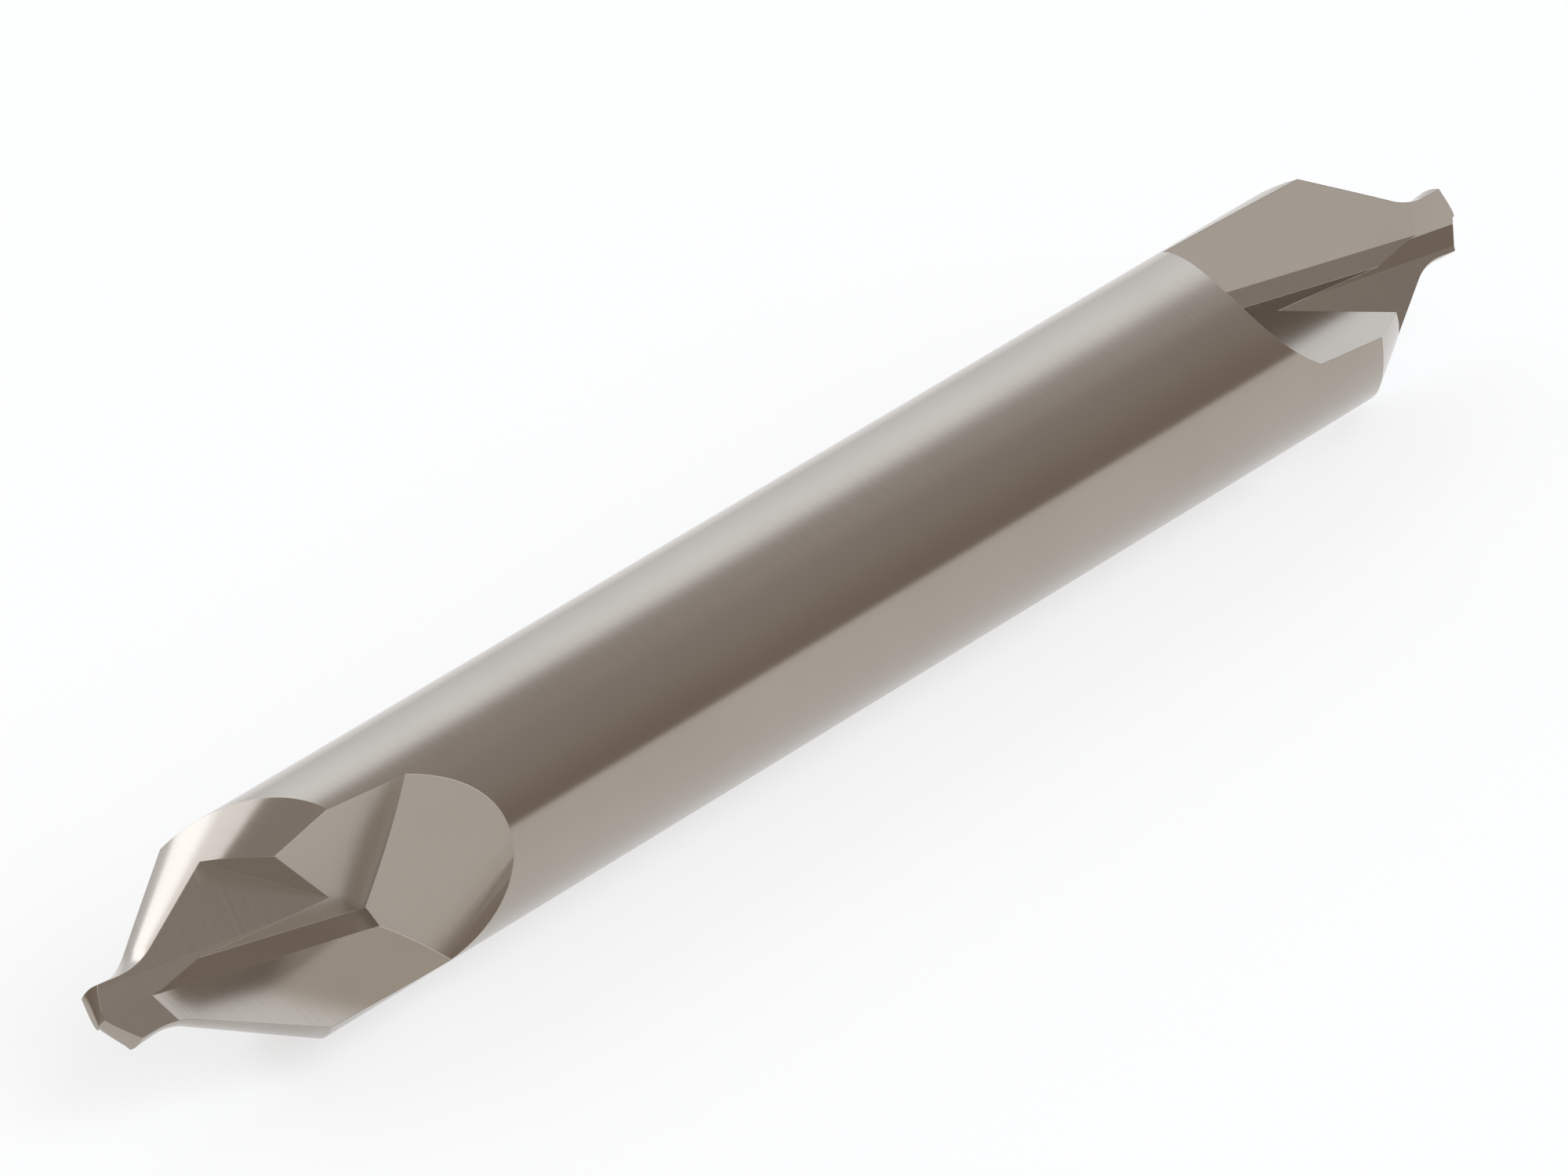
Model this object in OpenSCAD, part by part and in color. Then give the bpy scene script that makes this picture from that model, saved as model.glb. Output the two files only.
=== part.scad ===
// Centre drill: a double-ended combined drill and countersink, ground from one round bar.
// The axis lies along X, with the origin on the axis at mid length. Millimetres.

/* [Shank] */
// Diameter of the plain ground shank
shank_d = 3.15; // [2.5:0.05:5]
// Length over both points
overall_l = 31.5; // [25:0.1:45]
// Turn of the near end's cutting edges about the axis, as the drill lies
lie_angle = 30; // [0:1:180]
// Turn of the far end's cutting edges from the near end's
ends_turn = 47; // [0:1:90]

/* [Pilot drill] */
// Diameter of the pilot drill at each end
pilot_d = 0.95; // [0.75:0.05:1.25]
// Length of the pilot's straight margin
pilot_l = 0.72; // [0.6:0.02:1.6]
// Included angle of the pilot's point
point_angle = 118; // [100:1:140]
// Radius of the fillet between pilot and countersink
neck_r = 1.5; // [0.5:0.05:2]

/* [Countersink] */
// Included angle of the countersink
cone_angle = 60; // [56:1:90]
// Relief that lets the lands fall away behind their cutting edges
relief_angle = 8.5; // [4:0.5:12]

/* [Flutes] */
// Length of a flute from the shank's corner to its run-out in the rake face
flute_l = 3.5; // [2.5:0.1:4.5]
// Thickness of the web between the flutes at the pilot
web_t = 0.2; // [0.12:0.02:0.3]
// Angle between a flute's rake face and its heel face
flute_angle = 108; // [100:1:130]
// Width of the narrow floor that the wheel's edge leaves between rake face and heel face
valley_w = 0.28; // [0.1:0.02:0.4]
// Rise of the flute floor towards the shank
floor_angle = 7.4; // [4:0.1:10]
// Depth of the flute floor past the axis at the pilot's root
floor_depth = 0.12; // [0.05:0.01:0.2]
// Hook of the rake face behind the pilot
hook_angle = 6; // [2:0.5:10]
// Angle between the rake face and the gash that clears the heel beside the pilot
gash_angle = 150; // [130:1:160]
// Length of the gash from the pilot's root along the flute
gash_l = 3.9; // [3:0.1:5]
// Slant of the gash's end across the flute
gash_slant = 52; // [40:1:60]
// Lean of the gash's end
gash_lean = 24; // [10:1:35]
// Radius of the grinding wheel that leaves the rounded run-out
wheel_r = 3.6; // [3:0.1:6]
// Lean of the wheel's axle from the drill's axis
wheel_lean = 58; // [45:1:70]
// Depth that the wheel's rim reaches past the drill's axis
rim_depth = 0.8; // [0.5:0.05:1.1]

/* [Hidden] */
$fn = 96;
steel = "#a49b92";

shank_r = shank_d / 2;
pilot_r = pilot_d / 2;
half_l = overall_l / 2;
half_cone = cone_angle / 2;
point_h = pilot_r / tan(point_angle / 2);
cone_l = (shank_r - pilot_r) / tan(half_cone);
// Distances from the point back to the pilot's root and to the shank's corner
root_x = point_h + pilot_l;
end_l = root_x + cone_l;
// Reach of the cutters past the bar, and diameter of the ring that is ground off at an end
reach = 2 * shank_d;
waste_d = 1.2 * shank_d;
// Height of the wheel's axle, and its step from the pilot's root along the rake face
wheel_rise = wheel_r - rim_depth;
wheel_ahead = sqrt(pow(wheel_r, 2) - pow(wheel_rise - shank_r, 2)) / sin(wheel_lean)
    - flute_l - cone_l;
// Length of the neck fillet's tangents
neck_t = neck_r * tan(half_cone / 2);

// Half profile of a cutting end: x is the radius, y runs back from the point
module end_profile() {
    back_y = root_x + reach / tan(half_cone);
    difference() {
        polygon([[0, 0], [pilot_r, point_h], [pilot_r, root_x - neck_t],
                 [pilot_r + neck_t * sin(half_cone), root_x + neck_t * cos(half_cone)],
                 [pilot_r + reach, back_y], [0, back_y]]);
        translate([pilot_r + neck_r, root_x - neck_t]) circle(r = neck_r);
    }
}

// One tooth's side of a cutting end. Its axis leans about the point, so that the point,
// the margin and the countersink all fall away behind the cutting edge at +Y.
module relieved_side() {
    intersection() {
        rotate([0, relief_angle - 90, 0]) rotate_extrude() end_profile();
        translate([-end_l - reach, 0, -reach]) cube([end_l + 2 * reach, reach, 2 * reach]);
    }
}

// What is ground away around a cutting end to leave its two relieved sides
module end_waste() {
    difference() {
        translate([-end_l - shank_r, 0, 0]) rotate([0, 90, 0])
            cylinder(d = waste_d, h = end_l + shank_d);
        for (side = [0, 180]) rotate([side, 0, 0]) relieved_side();
    }
}

// Section of the groove an angle wheel leaves: x along the rake face, y away from it
module groove_profile(angle) {
    heel = [cos(angle), sin(angle)];
    // Step from the faces' meeting line to either side of the valley floor
    valley_t = valley_w / 2 / sin(angle / 2);
    polygon([[valley_t, 0], [reach, 0], [reach, reach], reach * heel, valley_t * heel]);
}

// The groove along its rising floor, from past the point to past the run-out
module groove(angle) {
    translate([0, -floor_depth, 0]) rotate([90, 0, 90 - floor_angle])
        translate([0, 0, -reach]) linear_extrude(2 * reach) groove_profile(angle);
}

// The wheel at the end of its stroke, and the way it came in from past the point
module wheel_path() {
    path_l = 3 * reach;
    cylinder(r = wheel_r, h = path_l, center = true);
    translate([0, -reach, -path_l / 2]) cube([path_l, 2 * reach, path_l]);
}

// What lies on the point's side of the gash's slanting end
module gash_path() {
    path_l = 3 * reach;
    translate([-gash_l, gash_l * tan(floor_angle) - floor_depth, 0])
        rotate([0, gash_lean, gash_slant])
            translate([0, -path_l / 2, -path_l / 2]) cube(path_l);
}

// One flute: the hooked groove runs out where the wheel's rim leaves the shank,
// and a straight, wider gash carries it on through the pilot and clears the heel there.
module flute() {
    translate([-root_x, 0, web_t / 2]) {
        intersection() {
            rotate([0, -hook_angle, 0]) groove(flute_angle);
            translate([wheel_ahead, wheel_rise, 0]) rotate([0, wheel_lean - 90, 0]) wheel_path();
        }
        intersection() {
            groove(gash_angle);
            gash_path();
        }
    }
}

module cutting_end_cuts() {
    end_waste();
    for (side = [0, 180]) rotate([side, 0, 0]) flute();
}

module centre_drill() {
    color(steel) difference() {
        translate([-half_l, 0, 0]) rotate([0, 90, 0]) cylinder(d = shank_d, h = overall_l);
        rotate([lie_angle, 0, 0]) {
            rotate([0, 0, 180]) translate([half_l, 0, 0]) cutting_end_cuts();
            rotate([ends_turn, 0, 0]) translate([half_l, 0, 0]) cutting_end_cuts();
        }
    }
}

centre_drill();
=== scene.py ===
# %% [markdown]
# A centre drill is a short, stiff tool for starting holes true. Both ends are ground from one
# round bar of high-speed steel: a thin pilot drill, then a countersink, with two flutes each.
# This lesson makes that bar in Blender with the cuts a tool grinder makes, gives it a ground
# steel finish, and sets it on a pale table the way the photograph shows it.

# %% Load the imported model
from math import cos, pi, radians, sin, sqrt, tan
import bpy
from mathutils import Matrix, Vector


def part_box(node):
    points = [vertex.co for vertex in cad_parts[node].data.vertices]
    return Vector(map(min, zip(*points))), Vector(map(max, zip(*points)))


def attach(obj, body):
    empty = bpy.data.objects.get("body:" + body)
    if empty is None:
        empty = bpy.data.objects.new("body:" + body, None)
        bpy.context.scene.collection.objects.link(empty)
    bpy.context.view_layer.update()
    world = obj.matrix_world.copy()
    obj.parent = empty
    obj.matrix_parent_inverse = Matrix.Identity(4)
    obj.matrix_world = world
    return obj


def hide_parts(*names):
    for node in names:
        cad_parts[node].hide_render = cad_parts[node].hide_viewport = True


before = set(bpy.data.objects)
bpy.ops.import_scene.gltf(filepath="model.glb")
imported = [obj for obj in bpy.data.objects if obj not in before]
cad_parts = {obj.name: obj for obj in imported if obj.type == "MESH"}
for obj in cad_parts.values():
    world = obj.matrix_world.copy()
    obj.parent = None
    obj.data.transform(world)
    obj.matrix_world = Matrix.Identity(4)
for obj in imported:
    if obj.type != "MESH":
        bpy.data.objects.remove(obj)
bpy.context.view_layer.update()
low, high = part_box("centre_drill")
print("nodes in the frame:", len(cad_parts))
print("CAD box in mm:", [round(1000 * (b - a), 3) for a, b in zip(low, high)])

# %% [markdown]
# The whole tool is only 31.5 mm long, and Blender's cutting tools are happier with bigger
# numbers. So the drill is made with one unit to the millimetre and scaled down at the end.
# Length and diameter come from the frame. The rest are a grinder's settings: the same sizes
# that the solid was made with, so the finished piece fits the frame exactly.

# %% Sizes of the drill, in millimetres and degrees
MM = 0.001
overall_l = (high.x - low.x) / MM
shank_r = (high.z - low.z) / MM / 2
pilot_r = 0.475
pilot_l = 0.72
neck_r = 1.5
half_point = radians(118 / 2)
half_cone = radians(60 / 2)
relief_angle = radians(8.5)
lie_angle = radians(30)
ends_turn = radians(47)

point_h = pilot_r / tan(half_point)
root_x = point_h + pilot_l
cone_l = (shank_r - pilot_r) / tan(half_cone)
end_l = root_x + cone_l
reach = 4 * shank_r
print(f"one cutting end is {end_l:.2f} mm long, and the plain shank {overall_l - 2 * end_l:.1f} mm")

# %% [markdown]
# Cutters are thrown away after use, so a few helpers save typing. Each one works on the one
# object that is active, after everything else has been deselected.

# %% Helpers for the bench
def only(piece):
    bpy.ops.object.select_all(action="DESELECT")
    piece.select_set(True)
    bpy.context.view_layer.objects.active = piece
    return piece


def place(piece, matrix):
    """Moves a finished cutter by writing the move into its mesh."""
    only(piece)
    piece.matrix_world = matrix @ piece.matrix_world
    bpy.ops.object.transform_apply(location=True, rotation=True, scale=True)
    return piece


def copy_of(piece, matrix):
    only(piece)
    bpy.ops.object.duplicate()
    return place(bpy.context.active_object, matrix)


def combine(piece, tool, operation):
    """Cuts, fuses or overlaps a piece with a tool, and throws the tool away."""
    only(piece)
    cut = piece.modifiers.new(operation, "BOOLEAN")
    cut.object = tool
    cut.operation = operation
    cut.solver = "MANIFOLD"
    bpy.ops.object.modifier_apply(modifier=cut.name)
    bpy.data.objects.remove(tool)
    return piece


def turn(angle, axis):
    return Matrix.Rotation(angle, 4, axis)


def move(x, y, z):
    return Matrix.Translation((x, y, z))

# %% [markdown]
# The blank is a plain ground bar. A cylinder primitive stands along Z, so it is laid along X.
# It has many sides, because the long highlight on the shank shows every facet.

# %% The bar
BAR_SIDES = 240


def round_bar(name, radius, length, sides, centre_x=0):
    bpy.ops.object.select_all(action="DESELECT")
    bpy.ops.mesh.primitive_cylinder_add(vertices=sides, radius=radius, depth=length)
    bar = bpy.context.active_object
    bar.name = name
    bpy.ops.object.shade_smooth()
    return place(bar, move(centre_x, 0, 0) @ turn(pi / 2, "Y"))


drill = round_bar("centre_drill_ground", shank_r, overall_l, BAR_SIDES)
print("bar with", len(drill.data.polygons), "faces")

# %% [markdown]
# The flutes will cut into the last quarter of the bar at each end. Smooth shading blends over a
# whole face, so faces as long as the bar would carry the tilt of a cut edge far along the shank
# as a streak. Rings cut by bisect keep the faces short where the cuts will be.

# %% Rings round both ends of the bar
FIRST_RING, RING_STEP = 8.6, 0.3
rings = int((overall_l / 2 - FIRST_RING) / RING_STEP)
bpy.ops.object.mode_set(mode="EDIT")
for ring in range(rings + 1):
    for side in (-1, 1):
        ring_x = side * (FIRST_RING + ring * RING_STEP)
        bpy.ops.mesh.select_all(action="SELECT")
        bpy.ops.mesh.bisect(plane_co=(ring_x, 0, 0), plane_no=(1, 0, 0))
bpy.ops.object.mode_set(mode="OBJECT")
print("ringed bar with", len(drill.data.polygons), "faces")

# %% [markdown]
# Each cutting end starts as a turned form: point, pilot, a fillet at the neck and the
# countersink. Its half profile is drawn by extruding one vertex from corner to corner, as with
# a pen, and spun about the axis. The fillet is an arc, so a short loop finds its points. The
# countersink gets a few more points, for short faces there too.

# %% The profile of a cutting end, as distance back from the point and radius
ARC_STEPS = 16
CONE_STEPS, CONE_STEP = 10, 0.3
neck_t = neck_r * tan(half_cone / 2)
neck_arc = []
for step in range(ARC_STEPS + 1):
    swing = half_cone * step / ARC_STEPS
    neck_arc.append((root_x - neck_t + neck_r * sin(swing), pilot_r + neck_r * (1 - cos(swing))))
back_x = root_x + reach / tan(half_cone)
cone_line = []
for step in range(1, CONE_STEPS + 1):
    back = neck_t * cos(half_cone) + CONE_STEP * step
    cone_line.append((root_x + back, pilot_r + back * tan(half_cone)))
end_outline = [(0, 0), (point_h, pilot_r), *neck_arc, *cone_line, (back_x, pilot_r + reach), (back_x, 0)]
print("profile of", len(end_outline), "points, countersink from", round(neck_arc[-1][1], 3), "mm radius")

# %% [markdown]
# Spinning leaves the first and the last step on top of each other, and all the points on the
# axis in one place. Merging by distance closes the form, and the booleans need a closed one.

# %% Draw the profile and spin it
SPIN_STEPS = 144
MERGE_DISTANCE = 1e-5


def spun_end():
    bpy.ops.object.select_all(action="DESELECT")
    bpy.ops.mesh.primitive_plane_add()
    form = bpy.context.active_object
    bpy.ops.object.mode_set(mode="EDIT")
    bpy.ops.mesh.merge(type="CENTER")
    for here, there in zip(end_outline, end_outline[1:]):
        step = (here[0] - there[0], there[1] - here[1], 0)
        bpy.ops.mesh.extrude_region_move(TRANSFORM_OT_translate={"value": step})
    bpy.ops.mesh.select_all(action="SELECT")
    bpy.ops.mesh.spin(steps=SPIN_STEPS, angle=2 * pi, center=(0, 0, 0), axis=(1, 0, 0))
    bpy.ops.mesh.select_all(action="SELECT")
    bpy.ops.mesh.remove_doubles(threshold=MERGE_DISTANCE)
    bpy.ops.mesh.normals_make_consistent(inside=False)
    bpy.ops.mesh.faces_shade_smooth()
    bpy.ops.object.mode_set(mode="OBJECT")
    return form

# %% [markdown]
# A cutting edge only cuts if the metal behind it falls away. The grinder gets that relief by
# leaning the work a few degrees, one tooth at a time. Here the turned form leans about its
# point, a bisect keeps the half behind one cutting edge, and a half turn makes the other half.
# The halves overlap by a thousandth of a millimetre. If they only met, a film of no thickness
# could stay between them, and the booleans would come out differently from run to run.

# %% Two relieved sides, and the waste around them
OVERLAP = 0.001


def relieved_side():
    side = place(spun_end(), turn(relief_angle, "Y"))
    bpy.ops.object.mode_set(mode="EDIT")
    bpy.ops.mesh.select_all(action="SELECT")
    bpy.ops.mesh.bisect(plane_co=(0, -OVERLAP, 0), plane_no=(0, 1, 0), use_fill=True, clear_inner=True)
    bpy.ops.object.mode_set(mode="OBJECT")
    return side


waste_r = 1.2 * shank_r


def end_waste():
    waste = round_bar("waste", waste_r, end_l + 2 * shank_r, SPIN_STEPS, -end_l / 2)
    first = relieved_side()
    second = copy_of(first, turn(pi, "X"))
    combine(waste, first, "DIFFERENCE")
    return combine(waste, second, "DIFFERENCE")


waste = end_waste()
print("waste ring with", len(waste.data.polygons), "faces")

# %% [markdown]
# A flute is cut by a thin angle wheel. Its flat side leaves the rake face, its slanting side
# leaves the heel face, and its narrow edge leaves the valley floor between them. So the cutter
# is that section, extruded into a long groove along a floor that climbs towards the shank.

# %% The groove that an angle wheel leaves
flute_l = 3.5
web_t = 0.2
flute_angle = radians(108)
valley_w = 0.28
floor_angle = radians(7.4)
floor_depth = 0.12


def groove(angle):
    heel = Vector((cos(angle), sin(angle)))
    valley_t = valley_w / 2 / sin(angle / 2)
    corners = [(valley_t, 0), (reach, 0), (reach, reach), tuple(reach * heel), tuple(valley_t * heel)]
    bpy.ops.object.select_all(action="DESELECT")
    bpy.ops.mesh.primitive_circle_add(vertices=len(corners), fill_type="NGON")
    cutter = bpy.context.active_object
    for vertex, corner in zip(cutter.data.vertices, corners):
        vertex.co = (*corner, -reach)
    bpy.ops.object.mode_set(mode="EDIT")
    bpy.ops.mesh.select_all(action="SELECT")
    bpy.ops.mesh.extrude_region_move(TRANSFORM_OT_translate={"value": (0, 0, 2 * reach)})
    bpy.ops.mesh.select_all(action="SELECT")
    bpy.ops.mesh.normals_make_consistent(inside=False)
    bpy.ops.object.mode_set(mode="OBJECT")
    return place(cutter, move(0, -floor_depth, 0) @ turn(pi / 2 - floor_angle, "Z") @ turn(pi / 2, "X"))

# %% [markdown]
# Where the wheel stops, its rim leaves a rounded run-out. The groove is therefore kept only
# where the wheel has been: inside a big cylinder, and everywhere on the way in past the point.

# %% The way of the wheel
wheel_r = 3.6
wheel_lean = radians(58)
rim_depth = 0.8
wheel_rise = wheel_r - rim_depth
wheel_ahead = sqrt(wheel_r ** 2 - (wheel_rise - shank_r) ** 2) / sin(wheel_lean) - flute_l - cone_l


def block(low_corner, high_corner):
    bpy.ops.object.select_all(action="DESELECT")
    bpy.ops.mesh.primitive_cube_add(size=1)
    centre = (Vector(low_corner) + Vector(high_corner)) / 2
    stretch = Vector(high_corner) - Vector(low_corner)
    return place(bpy.context.active_object, move(*centre) @ Matrix.Diagonal((*stretch, 1)))


def wheel_path():
    path_l = 3 * reach
    bpy.ops.object.select_all(action="DESELECT")
    bpy.ops.mesh.primitive_cylinder_add(vertices=SPIN_STEPS, radius=wheel_r, depth=path_l)
    wheel = bpy.context.active_object
    bpy.ops.object.shade_smooth()
    way_in = block((0, -reach, -path_l / 2), (path_l, reach, path_l / 2))
    combine(wheel, way_in, "UNION")
    return place(wheel, move(wheel_ahead, wheel_rise, 0) @ turn(wheel_lean - pi / 2, "Y"))


print(f"wheel's axle {wheel_rise:.2f} mm above the drill's axis")

# %% [markdown]
# The rake face hooks a little behind the pilot, so its groove is turned about the pilot's root.
# A second, wider groove, the gash, runs straight on through the pilot and clears the heel beside
# it. The gash stops at a slanting end, so it is kept only on the point's side of a plane.

# %% One flute: the hooked groove and its gash
hook_angle = radians(6)
gash_angle = radians(150)
gash_l = 3.9
gash_slant = radians(52)
gash_lean = radians(24)


def gash_path():
    path_l = 3 * reach
    path = block((0, -path_l / 2, -path_l / 2), (path_l, path_l / 2, path_l / 2))
    to_end = move(-gash_l, gash_l * tan(floor_angle) - floor_depth, 0)
    return place(path, to_end @ turn(gash_slant, "Z") @ turn(gash_lean, "Y"))


def flute():
    hooked = combine(place(groove(flute_angle), turn(-hook_angle, "Y")), wheel_path(), "INTERSECT")
    gash = combine(groove(gash_angle), gash_path(), "INTERSECT")
    to_root = move(-root_x, 0, web_t / 2)
    return place(hooked, to_root), place(gash, to_root)


first_hooked, first_gash = flute()
print("flute cutter with", len(first_hooked.data.polygons), "faces")

# %% [markdown]
# Now the grinding itself. The same cutters serve both ends: each end gets its waste ring and
# two flutes, half a turn apart. The two ends are ground in separate settings, so their teeth
# don't line up, and the far end here sits 47 degrees round from the near one.

# %% Grind both ends
near_end = turn(lie_angle, "X") @ turn(pi, "Z") @ move(overall_l / 2, 0, 0)
far_end = turn(lie_angle + ends_turn, "X") @ move(overall_l / 2, 0, 0)
for setting in (near_end, far_end):
    combine(drill, copy_of(waste, setting), "DIFFERENCE")
    for half_turn in (0, pi):
        seat = setting @ turn(half_turn, "X")
        combine(drill, copy_of(first_hooked, seat), "DIFFERENCE")
        combine(drill, copy_of(first_gash, seat), "DIFFERENCE")
for cutter in (waste, first_hooked, first_gash):
    bpy.data.objects.remove(cutter)
print("ground drill with", len(drill.data.polygons), "faces")

# %% [markdown]
# Round faces should look round and flat ones flat, with a clean line between them. A boolean
# keeps each face's own shading: the bar, the turned ends and the wheel were made smooth, and the
# grooves were left flat. What is missing is the sharp line where two round faces meet, such as
# countersink and shank. Slivers along the cuts would tilt the light on the big faces, and
# weighted normals let the big faces win. The MANIFOLD solver leaves the mesh closed, so nothing
# is merged or dissolved here.

# %% Shade the faces and scale down to real size
SMOOTH_ANGLE = radians(8)
FACE_WEIGHT = 50
only(drill)
bpy.ops.object.mode_set(mode="EDIT")
bpy.ops.mesh.select_mode(type="EDGE")
bpy.ops.mesh.select_all(action="SELECT")
bpy.ops.mesh.set_sharpness_by_angle(angle=SMOOTH_ANGLE)
bpy.ops.object.mode_set(mode="OBJECT")
weigh = drill.modifiers.new("big faces win", "WEIGHTED_NORMAL")
weigh.weight = FACE_WEIGHT
weigh.keep_sharp = True
bpy.ops.object.modifier_apply(modifier=weigh.name)
place(drill, Matrix.Scale(MM, 4))
print("finished drill with", len(drill.data.polygons), "faces")

# %% [markdown]
# The drill is one piece of steel, so this one mesh stands for the solid's only node. It has no
# joints, so it rides on the root body, and all of it has the same finish.

# %% Tie the piece to the frame
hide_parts("centre_drill")
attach(drill, "root")
print(drill.name, "stands for centre_drill")

# %% [markdown]
# High-speed steel ground with a fine wheel is a warm grey metal with a soft gloss. The wheel
# runs round the bar, so its fine marks run round too.
# Colours are written as sRGB hex, as a colour picker shows them, and turned to linear. A small
# function adds each node, so that a material reads as a list of what it is made of.

# %% Colour and node helpers
def linear(hex_colour):
    parts = [int(hex_colour[i:i + 2], 16) / 255 for i in (1, 3, 5)]
    return [c / 12.92 if c <= 0.04045 else ((c + 0.055) / 1.055) ** 2.4 for c in parts] + [1]


def node(tree, kind, settings=(), inputs=(), links=()):
    """Adds a node, sets its options and sockets, and links other nodes' outputs into it."""
    made = tree.nodes.new(kind)
    for name, value in dict(settings).items():
        setattr(made, name, value)
    for name, value in dict(inputs).items():
        made.inputs[name].default_value = value
    for name, output in dict(links).items():
        tree.links.new(output, made.inputs[name])
    return made

# %% [markdown]
# Most of what a metal shows is its mirror, so the steel is one tint, a little uneven, with a gloss
# that the wheel's marks break up. Ground edges are keen but never perfectly sharp. A bevel node
# bends the light over the last hundredth of a millimetre, and it leaves the mesh alone, which is
# safer than a modelled bevel at the thin web.

# %% Ground high-speed steel
STEEL = "#a9a096"
STEEL_WORN = "#a0978d"
STAIN_SIZE = 2.5
MARK_SPACING = 0.08
MARK_LENGTH = 25
MARK_DEPTH = 0.002
MARK_STRENGTH = 0.08
MARK_DETAIL, STAIN_DETAIL = 2, 3
ROUGHNESS_LOW, ROUGHNESS_HIGH = 0.13, 0.2
EDGE_ROUND = 0.012
EDGE_SAMPLES = 4


def ground_steel():
    steel = bpy.data.materials.new("ground_high_speed_steel")
    steel.use_nodes = True
    tree = steel.node_tree
    shader = tree.nodes["Principled BSDF"]
    shader.inputs["Metallic"].default_value = 1
    where = node(tree, "ShaderNodeTexCoord").outputs["Object"]
    along, around = 1 / (MARK_SPACING * MM), 1 / (MARK_LENGTH * MM)
    stretch = (along, around, around)
    ring = node(tree, "ShaderNodeMapping", inputs={"Scale": stretch}, links={"Vector": where})
    marks = node(tree, "ShaderNodeTexNoise", inputs={"Scale": 1, "Detail": MARK_DETAIL},
                 links={"Vector": ring.outputs["Vector"]})
    stains = node(tree, "ShaderNodeTexNoise", links={"Vector": where},
                  inputs={"Scale": 1 / (STAIN_SIZE * MM), "Detail": STAIN_DETAIL})
    tint = node(tree, "ShaderNodeMix", settings={"data_type": "RGBA"},
                links={"Factor": stains.outputs["Fac"]})
    tint.inputs[6].default_value = linear(STEEL)
    tint.inputs[7].default_value = linear(STEEL_WORN)
    gloss = node(tree, "ShaderNodeMapRange", inputs={"To Min": ROUGHNESS_LOW, "To Max": ROUGHNESS_HIGH},
                 links={"Value": marks.outputs["Fac"]})
    worn = node(tree, "ShaderNodeBevel", settings={"samples": EDGE_SAMPLES},
                inputs={"Radius": EDGE_ROUND * MM})
    bump = node(tree, "ShaderNodeBump", inputs={"Strength": MARK_STRENGTH, "Distance": MARK_DEPTH * MM},
                links={"Height": marks.outputs["Fac"], "Normal": worn.outputs["Normal"]})
    tree.links.new(tint.outputs[2], shader.inputs["Base Color"])
    tree.links.new(gloss.outputs["Result"], shader.inputs["Roughness"])
    tree.links.new(bump.outputs["Normal"], shader.inputs["Normal"])
    return steel


drill.data.materials.clear()
drill.data.materials.append(ground_steel())
print("material:", drill.data.materials[0].name)

# %% [markdown]
# The table is a pale, plain sheet. The drill rests on it along the bottom of its shank, so the
# sheet sits at the drill's lowest point. It is big, because polished metal mirrors the table
# all the way to the horizon. The photograph's table is evenly white, as a light table is: so
# the sheet shines for the eye and for the mirror of the steel, and still takes a soft shadow.
# Close under the drill little light gets in, so there the mirrored sheet gets painted shade: the glow
# that the steel mirrors is cut back with distance from the drill's line, and the lit sheet with its
# shadow shows through instead.

# %% The table
FLOOR_SIZE = 4
PAPER = "#fdfdfd"
GLOW_TO_EYE = 0.7
PAINTED_SHADE_NEAR, PAINTED_SHADE_FAR = 0.7, 3.0
GLOW_NEAR, GLOW_FAR = 0.58, 0.95
PAPER_ROUGHNESS = 0.9
bpy.ops.object.select_all(action="DESELECT")
bpy.ops.mesh.primitive_plane_add(size=FLOOR_SIZE, location=(0, 0, low.z))
floor = bpy.context.active_object
floor.name = "table"


def white_paper():
    paper = bpy.data.materials.new("white_paper")
    paper.use_nodes = True
    tree = paper.node_tree
    sheet = tree.nodes["Principled BSDF"]
    sheet.inputs["Base Color"].default_value = linear(PAPER)
    sheet.inputs["Roughness"].default_value = PAPER_ROUGHNESS
    glow = node(tree, "ShaderNodeEmission", inputs={"Color": linear(PAPER), "Strength": 1})
    ray = node(tree, "ShaderNodeLightPath")
    seen = node(tree, "ShaderNodeMath", settings={"operation": "MULTIPLY"},
                inputs={1: GLOW_TO_EYE}, links={0: ray.outputs["Is Camera Ray"]})
    where = node(tree, "ShaderNodeTexCoord").outputs["Object"]
    across = node(tree, "ShaderNodeSeparateXYZ", links={"Vector": where}).outputs["Y"]
    apart = node(tree, "ShaderNodeMath", settings={"operation": "ABSOLUTE"}, links={0: across})
    # Painted shade: close to the drill's line the glow share for glossy rays drops from GLOW_FAR to
    # GLOW_NEAR.
    clear = node(tree, "ShaderNodeMapRange", links={"Value": apart.outputs["Value"]},
                 inputs={"From Min": PAINTED_SHADE_NEAR * MM, "From Max": PAINTED_SHADE_FAR * MM,
                         "To Min": GLOW_NEAR, "To Max": GLOW_FAR})
    in_steel = node(tree, "ShaderNodeMath", settings={"operation": "MULTIPLY"},
                    links={0: clear.outputs["Result"], 1: ray.outputs["Is Glossy Ray"]})
    share = node(tree, "ShaderNodeMath", settings={"operation": "ADD", "use_clamp": True},
                 links={0: seen.outputs["Value"], 1: in_steel.outputs["Value"]})
    both = node(tree, "ShaderNodeMixShader",
                links={"Fac": share.outputs["Value"], 1: sheet.outputs["BSDF"],
                       2: glow.outputs["Emission"]})
    tree.links.new(both.outputs["Shader"], tree.nodes["Material Output"].inputs["Surface"])
    return paper


floor.data.materials.append(white_paper())
print("table at", round(1000 * low.z, 3), "mm")

# %% [markdown]
# A round bar is a bent mirror, and its bands tell where the light is. Its lower half mirrors
# the table, the dark band above mirrors the room in front, and the pale streak near the top
# mirrors a bright wall behind, with a soft edge where the wall ends. So the world is a warm
# grey room with one cool white wall in it. Both get lighter upwards.

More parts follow.
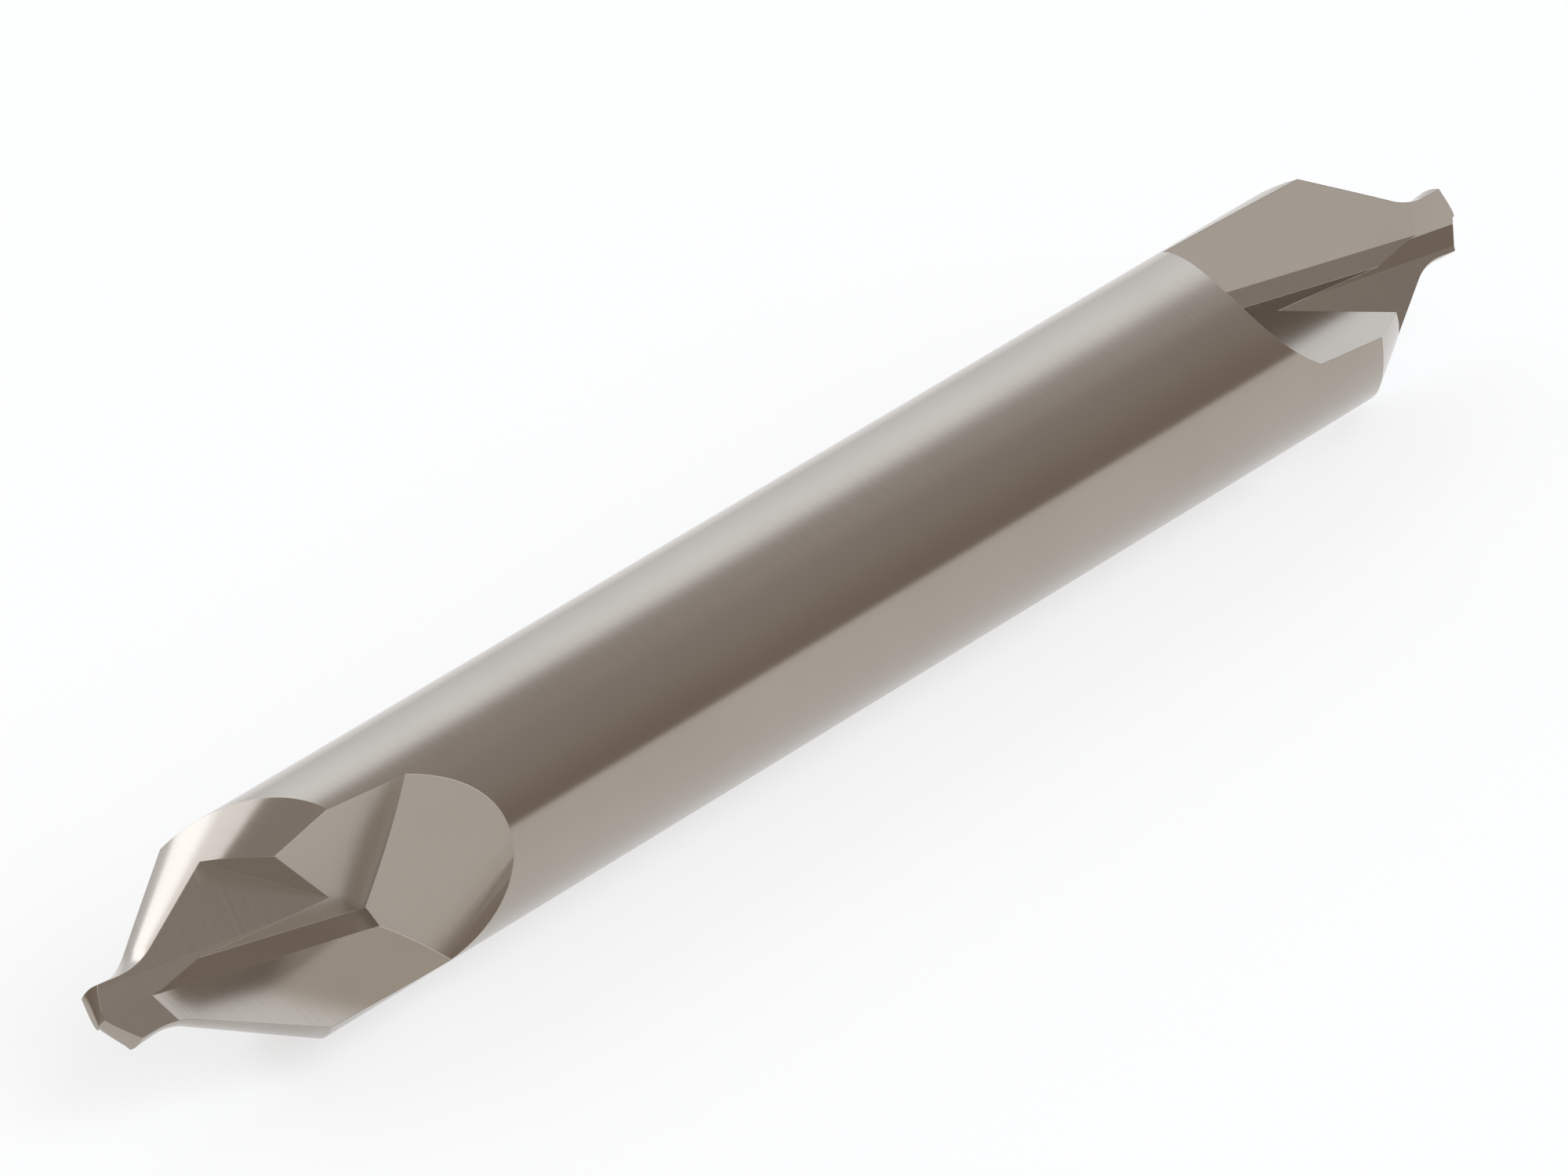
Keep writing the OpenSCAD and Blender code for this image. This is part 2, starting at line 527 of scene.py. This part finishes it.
# %% The room and its bright wall
ROOM_LOW, ROOM_HIGH = "#9e9086", "#bcb6b2"
WALL_LOW, WALL_HIGH = "#e8e8e9", "#f2f9ff"
WALL_HIGH_LIGHT = 1.57
ROOM_TOP, WALL_TOP = 0.65, 0.45
WALL_WAY = (0.83, 0.56, 0)
WALL_SIDE_DARK, WALL_SIDE_FULL = 0.56, 0.68
WALL_EDGE_DARK, WALL_EDGE_FULL = 0.63, 0.57
world = bpy.data.worlds.new("studio")
bpy.context.scene.world = world
world.use_nodes = True
sky = world.node_tree
way = node(sky, "ShaderNodeTexCoord").outputs["Generated"]
height = node(sky, "ShaderNodeSeparateXYZ", links={"Vector": way}).outputs["Z"]


def graded(low_colour, high_colour, top):
    """A colour that goes from low to high between the horizon and a height."""
    rise = node(sky, "ShaderNodeMapRange", inputs={"From Max": top}, links={"Value": height})
    mix = node(sky, "ShaderNodeMix", settings={"data_type": "RGBA"},
               links={"Factor": rise.outputs["Result"]})
    mix.inputs[6].default_value = low_colour
    mix.inputs[7].default_value = high_colour
    return mix.outputs[2]


room = graded(linear(ROOM_LOW), linear(ROOM_HIGH), ROOM_TOP)
wall = graded(linear(WALL_LOW), [WALL_HIGH_LIGHT * c for c in linear(WALL_HIGH)], WALL_TOP)
towards = node(sky, "ShaderNodeVectorMath", settings={"operation": "DOT_PRODUCT"},
               inputs={1: WALL_WAY}, links={0: way})
side_edge = node(sky, "ShaderNodeMapRange", links={"Value": towards.outputs["Value"]},
                 inputs={"From Min": WALL_SIDE_DARK, "From Max": WALL_SIDE_FULL})
top_edge = node(sky, "ShaderNodeMapRange", links={"Value": height},
                inputs={"From Min": WALL_EDGE_DARK, "From Max": WALL_EDGE_FULL})
on_wall = node(sky, "ShaderNodeMath", settings={"operation": "MULTIPLY"},
               links={0: side_edge.outputs["Result"], 1: top_edge.outputs["Result"]})
around = node(sky, "ShaderNodeMix", settings={"data_type": "RGBA"},
              links={"Factor": on_wall.outputs["Value"], 6: room, 7: wall})
print("room and wall painted on the world")

# %% [markdown]
# The rake face at the near end shows the room in front, by two bounces inside the flute, and the
# room there is dim. So a soft box is painted there on the same world. It is an even round patch
# with a soft rim, found by how far a ray's way leans from the way to its middle.

# %% The soft box in front
FRONT_WAY = (0.05, -0.757, 0.65)
FRONT = "#f0f8ff"
FRONT_LIGHT = 2.4
FRONT_DARK, FRONT_FULL = 0.78, 0.88
facing = node(sky, "ShaderNodeVectorMath", settings={"operation": "DOT_PRODUCT"},
              inputs={1: FRONT_WAY}, links={0: way})
on_front = node(sky, "ShaderNodeMapRange", links={"Value": facing.outputs["Value"]},
                inputs={"From Min": FRONT_DARK, "From Max": FRONT_FULL})
lit = node(sky, "ShaderNodeMix", settings={"data_type": "RGBA"},
           links={"Factor": on_front.outputs["Result"], 6: around.outputs[2]})
lit.inputs[7].default_value = [FRONT_LIGHT * c for c in linear(FRONT)]
sky.links.new(lit.outputs[2], sky.nodes["Background"].inputs["Color"])
print("world of", len(sky.nodes), "nodes")

# %% [markdown]
# A broad lamp behind and above gives the drill its soft shadow, so that it sits on the table,
# and lays a highlight on the near countersink. It is large and close, as a studio lamp is.

# %% The lamp
LAMP_SIZE = 0.4
LAMP_WATTS = 0.75
LAMP_COLOUR = "#ecf5ff"
LAMP_PLACE = (0.075, 0.39, 0.3)
bpy.ops.object.light_add(type="AREA", location=LAMP_PLACE)
lamp = bpy.context.active_object
lamp.name = "overhead_lamp"
lamp.data.size = LAMP_SIZE
lamp.data.energy = LAMP_WATTS
lamp.data.color = linear(LAMP_COLOUR)[:3]
lamp.rotation_euler = (-lamp.location).to_track_quat("-Z", "Y").to_euler()
print("lamp at", [round(c, 2) for c in lamp.location], "m")

# %% [markdown]
# The photograph is a close view through a long lens: the near end looks only a little thicker
# than the far end. From that the camera stands about 80 shank diameters away, looking down by
# 24 degrees and turned by 56 degrees from square on. The long lens brings the drill up to size.

# %% The camera
IMAGE_W, IMAGE_H = 2000, 1500
SENSOR_MM = 36
PIXELS_PER_DIAMETER = 309
DIAMETERS_AWAY = 79
DISTANCE = DIAMETERS_AWAY * 2 * shank_r * MM
LOOK_DOWN = radians(23.7)
YAW = radians(56.2)
DRILL_CENTRE = (1029, 767)

to_camera = Vector((-sin(YAW) * cos(LOOK_DOWN), -cos(YAW) * cos(LOOK_DOWN), sin(LOOK_DOWN)))
bpy.ops.object.camera_add(location=DISTANCE * to_camera)
camera = bpy.context.active_object
camera.rotation_euler = (-to_camera).to_track_quat("-Z", "Y").to_euler()
camera.data.sensor_width = SENSOR_MM
camera.data.lens = SENSOR_MM * PIXELS_PER_DIAMETER * DISTANCE / (2 * shank_r * MM) / IMAGE_W
camera.data.shift_x = (IMAGE_W / 2 - DRILL_CENTRE[0]) / IMAGE_W
camera.data.shift_y = (DRILL_CENTRE[1] - IMAGE_H / 2) / IMAGE_W
bpy.context.scene.camera = camera
print(f"lens {camera.data.lens:.0f} mm at {1000 * DISTANCE:.0f} mm")

# %% [markdown]
# The photograph's greys are plain sRGB, so the view transform is the standard one.

# %% Finish
bpy.context.scene.view_settings.view_transform = "Standard"
